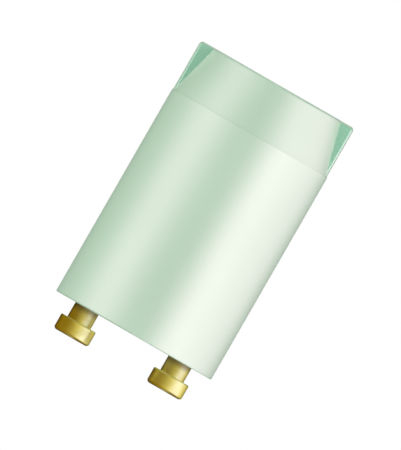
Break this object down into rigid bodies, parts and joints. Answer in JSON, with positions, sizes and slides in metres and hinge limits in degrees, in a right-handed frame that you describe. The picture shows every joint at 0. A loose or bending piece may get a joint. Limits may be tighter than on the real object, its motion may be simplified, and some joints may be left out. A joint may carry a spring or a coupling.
{
  "type": "fluorescent starter",
  "caption": "Plug-in glow starter for fluorescent tubes: a pale mint moulded can with a winged finger grip, closed by a base with two mushroom-headed brass contact pins.",
  "frame": {"origin": "centre of the can's closed end, on which the starter stands", "axes": "+Z along the can's axis, from the closed end to the contact pins; X through both pins and both finger wings; the glow bulb lies on the +Y side"},
  "size_m": [0.0212, 0.0212, 0.0382],
  "materials": {
    "mint_polycarbonate": "moulded, satin, slightly translucent pale mint",
    "base_moulding": "moulded, satin off-white",
    "pin_brass": "turned, unplated",
    "solder": "dull solder",
    "bulb_glass": "clear blown glass",
    "tinned_wire": "tinned, bright",
    "bimetal": "rolled strip",
    "electrode_nickel": "drawn nickel rod",
    "capacitor_film": "wound film, glossy, straw-coloured",
    "sprayed_zinc": "rough sprayed metal"
  },
  "bodies": {
    "root": {"housing_can": "mint_polycarbonate", "base_plate": "base_moulding", "contact_pin_left": "pin_brass", "contact_pin_right": "pin_brass", "pin_solder_left": "solder", "pin_solder_right": "solder", "glow_bulb_glass": "bulb_glass", "bulb_lead_left": "tinned_wire", "bulb_lead_right": "tinned_wire", "bimetal_strip": "bimetal", "fixed_electrode": "electrode_nickel", "capacitor_body": "capacitor_film", "capacitor_end_left": "sprayed_zinc", "capacitor_end_right": "sprayed_zinc", "capacitor_lead_left": "tinned_wire", "capacitor_lead_right": "tinned_wire"}
  },
  "joints": []
}
